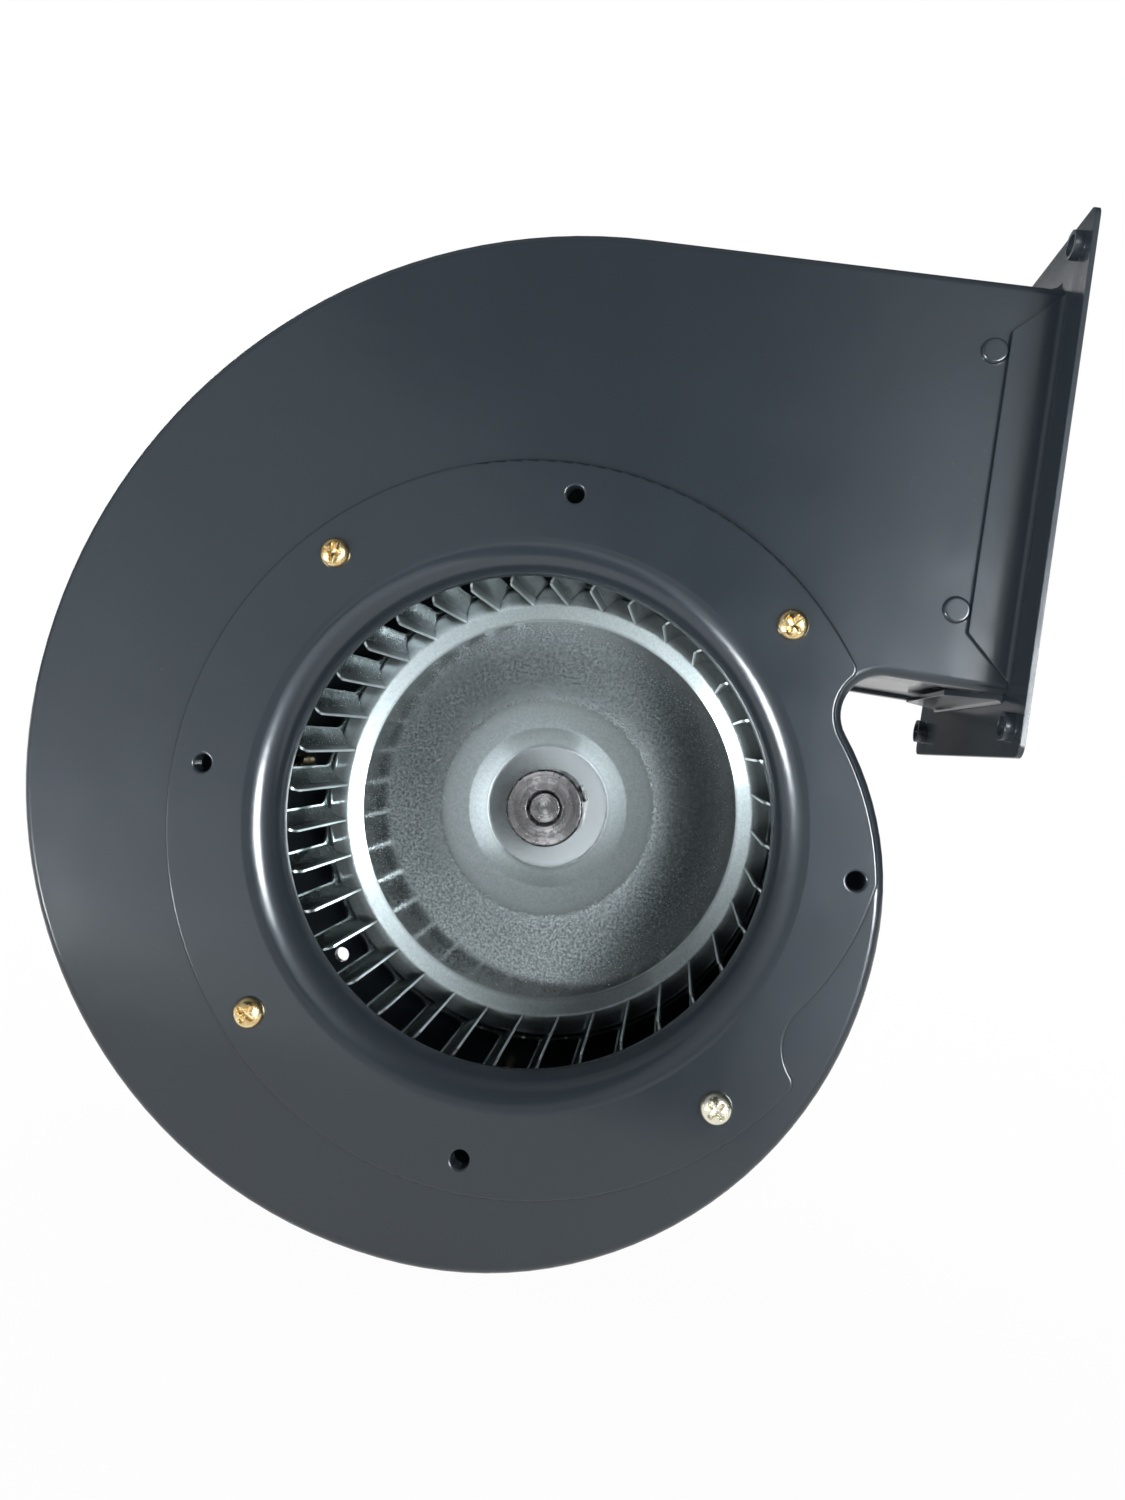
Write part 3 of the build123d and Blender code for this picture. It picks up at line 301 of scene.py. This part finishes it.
print("materials")
finishes = {
    "housing_paint": paintMaterial(),
    "galvanised_steel": galvanisedMaterial(),
    "yellow_zinc": zincMaterial(),
    "turned_steel": turnedMaterial(),
    "black_steel": plainFinish("blackSteel", (0.03, 0.03, 0.03), (0.015, 0.015, 0.016), 0.4, 900, metallic=0.4),
    "bright_zinc": plainFinish("brightZinc", (0.66, 0.67, 0.68), (0.5, 0.51, 0.53), 0.3, 900),
    "motor_paint": plainFinish("motorPaint", (0.05, 0.058, 0.066), (0.04, 0.046, 0.053), 0.38, 500, metallic=0.0),
    "cast_aluminium": plainFinish("castAluminium", (0.46, 0.47, 0.48), (0.34, 0.35, 0.36), 0.5, 800, bump=0.00008),
    "laminations": plainFinish("laminations", (0.16, 0.16, 0.17), (0.1, 0.1, 0.11), 0.5, 2000, (0.1, 6, 0.1)),
    "enamelled_copper": plainFinish("enamelledCopper", (0.5, 0.18, 0.07), (0.3, 0.09, 0.03), 0.35, 900),
    "cast_rings": plainFinish("castRings", (0.6, 0.6, 0.61), (0.5, 0.5, 0.51), 0.4, 700),
    "bearing_steel": plainFinish("bearingSteel", (0.68, 0.68, 0.69), (0.6, 0.6, 0.61), 0.16, 900),
    "black_plastic": plainFinish(
        "blackPlastic", (0.03, 0.03, 0.032), (0.022, 0.022, 0.024), 0.45, 900, metallic=0.0, bump=0.00006),
    "brass_studs": plainFinish("brassStuds", (0.72, 0.52, 0.2), (0.6, 0.42, 0.15), 0.28, 900),
    "pale_plastic": plainFinish("palePlastic", (0.72, 0.72, 0.69), (0.66, 0.66, 0.63), 0.4, 400, metallic=0.0),
}
slotOfNode = {entry["node"]: entry["material_slot"] for entry in frame["record"]["subparts"]}
for name, node in nodes.items():
    node.data.materials.clear()
    node.data.materials.append(finishes[slotOfNode[name]])


def closedGrids(name, grids, slotName, sharp=35.0):
    # one mesh from grids of points, each closed round its second direction, with its poles merged
    points, faces, start = [], [], 0
    for grid in grids:
        rows, turns = grid.shape[:2]
        index = np.arange(rows * turns).reshape(rows, turns) + start
        after = np.roll(index, -1, axis=1)
        faces.append(np.stack([index[:-1], index[1:], after[1:], after[:-1]], axis=-1).reshape(-1, 4))
        points.append(grid.reshape(-1, 3))
        start += rows * turns
    mesh = bpy.data.meshes.new(name)
    mesh.from_pydata(np.concatenate(points).tolist(), [], np.concatenate(faces).tolist())
    shell = bmesh.new()
    shell.from_mesh(mesh)
    bmesh.ops.remove_doubles(shell, verts=shell.verts, dist=1e-6)
    shell.to_mesh(mesh)
    shell.free()
    mesh.polygons.foreach_set("use_smooth", np.ones(len(mesh.polygons), bool))
    mesh.set_sharp_from_angle(angle=math.radians(sharp))
    mesh.materials.append(finishes[slotName])
    piece = bpy.data.objects.new(name, mesh)
    bpy.context.scene.collection.objects.link(piece)
    return piece


def screwGrid(look, seat, outward, spin):
    # Height over radius r and turn. Cross head: head height times (1 - (r / head radius)^outer)^inner, less a cross
    # whose depth falls towards its arms' ends. Hexagon: a flat top whose corners are cut by a cone that falls by
    # slope times (r - start). Below it come the flat underside and the shank with its pointed end.
    theta = np.linspace(0, 2 * math.pi, look["turns"], endpoint=False)[None, :]
    share = np.linspace(0, 1, look["rings"])[:, None] ** 0.9
    if look["kind"] == "cross":
        radius = np.sin(share * math.pi / 2) * look["headRadius"] + 0 * theta
        outer, inner = look["dome"]
        height = look["headHeight"] * np.clip(1 - (radius / look["headRadius"]) ** outer, 0, 1) ** inner
        armX, armY = np.abs(radius * np.cos(theta)), np.abs(radius * np.sin(theta))
        arm = np.clip((look["armWidth"] - np.minimum(armX, armY)) / look["armSlope"] + 0.5, 0, 1)
        reach = np.clip((look["armLength"] - radius) / look["armSlope"] + 0.5, 0, 1)
        middle = np.clip((look["armWidth"] * look["middle"] - radius) / look["armSlope"] + 0.5, 0, 1)
        floor = look["armDepth"] * (1 - look["armFall"] * np.clip(radius / look["armLength"], 0, 1))
        height = height - floor * np.maximum(arm * reach, middle)
    else:
        corner = (theta + math.pi / 6) % (math.pi / 3) - math.pi / 6
        radius = share * look["headRadius"] * math.cos(math.pi / 6) / np.cos(corner)
        slope, start = look["cornerCut"]
        height = look["headHeight"] - slope * np.clip(radius - look["headRadius"] * start, 0, None)
    edge = radius[-1:]
    shank = look["shankRadius"] + 0 * theta
    narrow, point = look["shankEnd"]
    radius = np.concatenate([radius, edge, shank, shank, shank * narrow, shank * 0])
    length = look["shankLength"]
    level = np.array([0, 0, -length + look["shankRadius"] * point, -length, -length])[:, None] + 0 * theta
    height = np.concatenate([height, level])
    across = outward.orthogonal().normalized()
    frameAxes = np.array([across, outward.cross(across), outward])
    turn = theta + math.radians(spin)
    local = np.stack([radius * np.cos(turn), radius * np.sin(turn), height], axis=-1) * mm
    return local @ frameAxes + np.array(seat) * mm


def makeScrews(name, node, body, slotName, look, seats):
    grids = [screwGrid(look, seat, Vector(outward), spin) for seat, outward, spin in seats]
    piece = closedGrids(name, grids, slotName)
    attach(piece, body)
    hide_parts(node)


print("screws")
# Lengths in millimetres. A seat is the middle of a head's underside, the way the head faces, and its turn in degrees.
# dome: the outer and inner powers of its curve; middle and armFall: the cross's centre over its arms' width, and how
# much shallower the arms' ends are; shankEnd: the flat end's radius and the taper's length over the shank's radius.
crossHead = {"kind": "cross", "dome": (2.4, 0.42), "middle": 1.7, "armFall": 0.45, "shankEnd": (0.6, 0.4)}
panHead = {
    **crossHead, "rings": 44, "turns": 120, "headRadius": 4.75, "headHeight": 3.0, "shankRadius": 2.4,
    "shankLength": 10.0, "armWidth": 0.62, "armSlope": 0.35, "armLength": 2.75, "armDepth": 1.7,
}
onCircle = 100 * math.sqrt(0.5)
makeScrews("inletScrews", "inlet_ring_screws", "housing", "yellow_zinc", panHead, [
    ((onCircle * x, 0, onCircle * z), (0, -1, 0), spin)
    for x, z, spin in ((1, 1, 10), (-1, 1, 38), (-1, -1, 22), (1, -1, 5))
])
plateHead = {**panHead, "rings": 26, "turns": 64}
makeScrews("plateScrews", "motor_plate_screws", "housing", "yellow_zinc", plateHead, [
    ((100 * x, 87, 100 * z), (0, 1, 0), spin) for x, z, spin in ((1, 0, 15), (0, 1, 50), (-1, 0, 70), (0, -1, 31))
])
cowlHead = {
    **crossHead, "rings": 22, "turns": 56, "headRadius": 3.6, "headHeight": 2.0, "shankRadius": 2.0,
    "shankLength": 4.0, "armWidth": 0.45, "armSlope": 0.3, "armLength": 2.0, "armDepth": 1.2,
}
makeScrews("cowlScrews", "cowl_screws", "housing", "bright_zinc", cowlHead, [
    ((63.07 * x, 195.5, 63.07 * z), (x, 0, z), spin)
    for x, z, spin in ((1, 0, 12), (0, 1, 40), (-1, 0, 75), (0, -1, 28))
])
lidHead = {**cowlHead, "headRadius": 3.61, "headHeight": 2.28, "shankRadius": 1.9, "shankLength": 16.0}
makeScrews("lidScrews", "lid_screws", "housing", "bright_zinc", lidHead, [
    ((32.5 * x, 143 + 31.5 * y, 103.5), (0, 0, 1), spin)
    for x, y, spin in ((1, 1, 8), (-1, 1, 33), (-1, -1, 61), (1, -1, 20))
])
boltHead = {
    "kind": "hexagon", "rings": 8, "turns": 48, "headRadius": 4.2, "headHeight": 3.36, "cornerCut": (0.58, 0.84),
    "shankRadius": 2.4, "shankLength": 97.0, "shankEnd": (0.6, 0.4),
}
ear = 68 * math.sqrt(0.5)
makeScrews("throughBolts", "through_bolts", "housing", "bright_zinc", boltHead, [
    ((ear * x, 191.5, ear * z), (0, 1, 0), 0) for x, z in ((1, 1), (-1, 1), (-1, -1), (1, -1))
])


def roundedLine(corners, radii, step=6.0):
    # corner points joined by straight lines, each corner replaced by an arc of its radius
    corners = [np.array(corner, float) for corner in corners]
    points = [corners[0]]
    for before, corner, after, radius in zip(corners, corners[1:], corners[2:], radii):
        back, ahead = before - corner, after - corner
        back, ahead = back / np.linalg.norm(back), ahead / np.linalg.norm(ahead)
        half = math.acos(float(np.clip(back @ ahead, -1, 1))) / 2
        middle = corner + (back + ahead) / np.linalg.norm(back + ahead) * radius / math.sin(half)
        start, end = corner + back * radius / math.tan(half), corner + ahead * radius / math.tan(half)
        count = max(2, int(math.degrees(math.pi - 2 * half) / step) + 2)
        share = np.linspace(0, 1, count)[:, None]
        chord = (start - middle) * (1 - share) + (end - middle) * share
        points.extend(middle + chord / np.linalg.norm(chord, axis=1, keepdims=True) * radius)
    points.append(corners[-1])
    # more points along the straight parts, two of them close to the ends, so that smooth shading keeps these straight
    close, apart = 0.15, 2.0
    filled = [points[:1]]
    for before, after in zip(points, points[1:]):
        length = float(np.linalg.norm(after - before))
        if length > 1.0:
            between = np.linspace(0, 1, int(length / apart) + 2)[1:-1]
            share = np.concatenate([[close / length], between, [1 - close / length]])[:, None]
            filled.append(before + (after - before) * share)
        filled.append([after])
    return np.concatenate(filled)


def turnedSheet(line, thickness, turns):
    # a line of (radius, depth) points given a thickness behind it and turned round the shaft
    along = np.gradient(line, axis=0)
    along /= np.linalg.norm(along, axis=1, keepdims=True)
    behind = line + np.stack([-along[:, 1], along[:, 0]], axis=1) * thickness
    outline = np.concatenate([line, behind[::-1], line[:1]])
    theta = np.linspace(0, 2 * math.pi, turns, endpoint=False)[None, :]
    radius, depth = outline[:, :1], outline[:, 1:]
    return np.stack([radius * np.cos(theta), depth + 0 * theta, radius * np.sin(theta)], axis=-1) * mm


print("impeller disc")
discLook = {
    # radius and depth: flat seat, cone, shallow cone, flat, sharp crease, sloping shoulder, rim
    "corners": [
        (10.02, 66.6), (21.6, 66.6), (28.9, 65.1), (39.0, 64.5), (68.0, 64.5), (73.2, 62.0), (80.4, 62.0),
        (80.4, 68.3),
    ],
    "bends": (2.5, 4.0, 14.0, 0.5, 3.2, 1.4),  # the radius at each corner but the two ends
    "sheet": 1.15,
    "turns": 360,
}
discLine = roundedLine(discLook["corners"], discLook["bends"])
discGrid = turnedSheet(discLine, discLook["sheet"], discLook["turns"])
disc = closedGrids("backDisc", [discGrid], "galvanised_steel", 30.0)
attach(disc, "rotor")
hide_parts("impeller_back_disc")


print("stage")
floorLook = {
    "height": -0.1345,
    "left": -2.5,
    "right": 2.5,
    "front": -0.16,     # the near edge, below the lower lamp's path
    "back": 3.0,
    "colour": (0.9, 0.9, 0.9),
    "roughness": 0.9,
    "middle": (0, 0.08, -0.1345),
    "white": [(0.25, 0.97), (0.75, 1.0)],  # how white the camera sees it, by distance from the middle
}
floorMesh = bpy.data.meshes.new("floor")
floorCorners = [
    (floorLook["left"], floorLook["front"]), (floorLook["right"], floorLook["front"]),
    (floorLook["right"], floorLook["back"]), (floorLook["left"], floorLook["back"]),
]
floorMesh.from_pydata([(x, y, floorLook["height"]) for x, y in floorCorners], [], [(0, 1, 2, 3)])
floor = bpy.data.objects.new("floor", floorMesh)
bpy.context.scene.collection.objects.link(floor)


def whiteForCamera(tree, coords, shader, output):
    # the floor is white for the camera and in reflections, and keeps part of the shadow near the object
    path = tree.nodes.new("ShaderNodeLightPath")
    seen = addMath(tree, "MAXIMUM", path.outputs["Is Camera Ray"], path.outputs["Is Glossy Ray"])
    seen = addMath(tree, "MAXIMUM", seen, path.outputs["Is Transmission Ray"])
    away = tree.nodes.new("ShaderNodeVectorMath")
    away.operation = "DISTANCE"
    away.inputs[1].default_value = floorLook["middle"]
    tree.links.new(coords, away.inputs[0])
    plain = addRamp(tree, away.outputs["Value"], floorLook["white"])
    glow = tree.nodes.new("ShaderNodeEmission")
    glow.inputs["Color"].default_value = (1, 1, 1, 1)
    mix = tree.nodes.new("ShaderNodeMixShader")
    tree.links.new(addMath(tree, "MULTIPLY", seen, plain), mix.inputs[0])
    tree.links.new(shader, mix.inputs[1])
    tree.links.new(glow.outputs[0], mix.inputs[2])
    tree.links.new(mix.outputs[0], output)


floorMaterial, tree, shader, coords = makeNodes("floorPaper")
shader.inputs["Base Color"].default_value = (*floorLook["colour"], 1)
shader.inputs["Roughness"].default_value = floorLook["roughness"]
whiteForCamera(tree, coords, shader.outputs[0], tree.nodes["Material Output"].inputs["Surface"])
floorMesh.materials.append(floorMaterial)

# The room as mirror-like surfaces see it: two soft boxes with a wide glow round each, a pale wall at the upper left,
# a pale table below, two darker places, and a dark shape with a curved left side in front. Diffuse light from it is
# plain grey, and it is white behind the object. A box adds its glow within its angle, with a soft edge, and a patch
# adds glow times exp(spread times (cosine of the angle from its middle - 1)).
room = {
    "diffuse": (0.40, 0.40, 0.40),
    "base": (0.03, 0.032, 0.034),
    "tint": (0.96, 1.0, 1.03),
    "boxes": [
        {"towards": (-0.61, -0.65, -0.45), "angle": 10.0, "soft": 2.0, "glow": 46.0},
        {"towards": (0.49, -0.87, 0.04), "angle": 10.0, "soft": 2.0, "glow": 46.0},
        {"towards": (-0.16, -1.0, -0.085), "angle": 2.9, "soft": 0.6, "glow": -0.75},
    ],
    "patches": [
        {"towards": (-0.59, -0.65, -0.48), "spread": 9, "glow": 1.7},
        {"towards": (0.49, -0.87, 0.04), "spread": 9, "glow": 1.7},
        {"towards": (-0.58, -0.57, 0.58), "spread": 4, "glow": 0.35},
        {"towards": (-0.1, -0.62, -0.78), "spread": 4, "glow": 1.25},
        {"towards": (0.0, 0.1, -1.0), "spread": 3, "glow": 0.8},
        {"towards": (-0.25, -1.0, -0.07), "spread": 60, "glow": -0.42},
    ],
    "dark": (0.05, 0.052, 0.055),
    "bow": (1.9, 0.083, 0.009),   # the dark shape's left side: how curved, how far below the middle, how far left
    "leftEdge": [(0.485, 0.0), (0.515, 1.0)],   # both edges as slopes across, plus a half
    "rightEdge": [(0.61, 1.0), (0.635, 0.0)],
}
world = bpy.data.worlds.new("studio")
bpy.context.scene.world = world
world.cycles.sampling_method = "NONE"
world.use_nodes = True
tree = world.node_tree
backdrop = tree.nodes["Background"]
path = tree.nodes.new("ShaderNodeLightPath")
place = tree.nodes.new("ShaderNodeTexCoord")
split = tree.nodes.new("ShaderNodeSeparateXYZ")
tree.links.new(place.outputs["Generated"], split.inputs[0])


def addFacing(towards):
    # cosine of the angle between the ray and a direction
    facing = tree.nodes.new("ShaderNodeVectorMath")
    facing.operation = "DOT_PRODUCT"
    tree.links.new(place.outputs["Generated"], facing.inputs[0])
    facing.inputs[1].default_value = Vector(towards).normalized()
    return facing.outputs["Value"]


glow = 0.0
for box in room["boxes"]:
    inside = tree.nodes.new("ShaderNodeMapRange")
    inside.interpolation_type = "SMOOTHSTEP"
    tree.links.new(addFacing(box["towards"]), inside.inputs["Value"])
    inside.inputs["From Min"].default_value = math.cos(math.radians(box["angle"] + box["soft"]))
    inside.inputs["From Max"].default_value = math.cos(math.radians(box["angle"] - box["soft"]))
    glow = addMath(tree, "MULTIPLY_ADD", inside.outputs["Result"], box["glow"], glow)
for patch in room["patches"]:
    power = addMath(tree, "MULTIPLY_ADD", addFacing(patch["towards"]), patch["spread"], -patch["spread"])
    glow = addMath(tree, "MULTIPLY_ADD", addMath(tree, "EXPONENT", power), patch["glow"], glow)
tinted = tree.nodes.new("ShaderNodeVectorMath")
tinted.operation = "MULTIPLY_ADD"
tree.links.new(addMath(tree, "MAXIMUM", glow, 0.0), tinted.inputs[0])
tinted.inputs[1].default_value = room["tint"]
tinted.inputs[2].default_value = room["base"]
# the dark shape covers slopes where across + left + curve times (up + below)^2 is above 0, up to its right edge
away = addMath(tree, "MAXIMUM", addMath(tree, "MULTIPLY", split.outputs["Y"], -1.0), 0.01)
across = addMath(tree, "DIVIDE", split.outputs["X"], away)
upwards = addMath(tree, "DIVIDE", split.outputs["Z"], away)
curve, below, left = room["bow"]
bow = addMath(tree, "ADD", upwards, below)
side = addMath(tree, "MULTIPLY_ADD", addMath(tree, "MULTIPLY", bow, bow), curve, addMath(tree, "ADD", across, left))
leftPart = addRamp(tree, addMath(tree, "ADD", side, 0.5), room["leftEdge"])
rightPart = addRamp(tree, addMath(tree, "ADD", across, 0.5), room["rightEdge"])
inFront = addMath(tree, "LESS_THAN", split.outputs["Y"], -0.5)
covered = addMath(tree, "MULTIPLY", addMath(tree, "MULTIPLY", leftPart, rightPart), inFront)
mirrored = addMix(tree, covered, tinted.outputs[0], room["dark"])
seen = addMix(tree, path.outputs["Is Glossy Ray"], room["diffuse"], mirrored)
tree.links.new(addMix(tree, path.outputs["Is Camera Ray"], seen, (1.0, 1.0, 1.0)), backdrop.inputs["Color"])
backdrop.inputs["Strength"].default_value = 1.0

# towards the lamp from the object's middle, distance and size in metres, power in watts
lights = {
    "lowerLeftBox": {"towards": (-0.59, -0.65, -0.48), "distance": 1.5, "size": 0.5, "power": 9.0},
    "rightBox": {"towards": (0.52, -0.85, 0.05), "distance": 1.5, "size": 0.5, "power": 8.0},
    "topFill": {"towards": (-0.15, 0.25, 0.95), "distance": 1.6, "size": 1.0, "power": 9.0},
    "backFill": {"towards": (-0.5, 0.8, 0.35), "distance": 1.8, "size": 0.8, "power": 12.0},
}
lightsAim = Vector((0, 0.04, 0))
for name, light in lights.items():
    lamp = bpy.data.lights.new(name, "AREA")
    lamp.shape = "SQUARE"
    lamp.size = light["size"]
    lamp.energy = light["power"]
    holder = bpy.data.objects.new(name, lamp)
    direction = Vector(light["towards"]).normalized()
    holder.location = lightsAim + direction * light["distance"]
    holder.rotation_euler = (-direction).to_track_quat("-Z", "Y").to_euler()
    holder.visible_glossy = name == "backFill"  # the room's boxes stand for the others in reflections
    bpy.context.scene.collection.objects.link(holder)

cameraLook = {
    "at": (0.04321, -0.29798, 0.02985),
    "right": (0.98215, 0.08442, 0.16809),
    "up": (-0.16173, -0.07733, 0.98380),
    "frame": (1125, 1500),      # width and height in pixels
    "focal": 999.72,            # in pixels
    "centre": (593.3, 667.9),   # where the lens axis meets the frame
}
camera = bpy.data.objects.new("camera", bpy.data.cameras.new("camera"))
right, up = Vector(cameraLook["right"]).normalized(), Vector(cameraLook["up"])
up = (up - right * up.dot(right)).normalized()
turn = Matrix((right, up, right.cross(up))).transposed()
camera.matrix_world = Matrix.Translation(cameraLook["at"]) @ turn.to_4x4()
camera.data.sensor_fit = "VERTICAL"
camera.data.sensor_height = 36.0
frameWidth, frameHeight = cameraLook["frame"]
camera.data.lens = camera.data.sensor_height * cameraLook["focal"] / frameHeight
camera.data.shift_x = (frameWidth / 2 - cameraLook["centre"][0]) / frameHeight
camera.data.shift_y = (cameraLook["centre"][1] - frameHeight / 2) / frameHeight
camera.data.clip_start = 0.01
bpy.context.scene.collection.objects.link(camera)
bpy.context.scene.camera = camera
bpy.context.scene.view_settings.view_transform = "Standard"
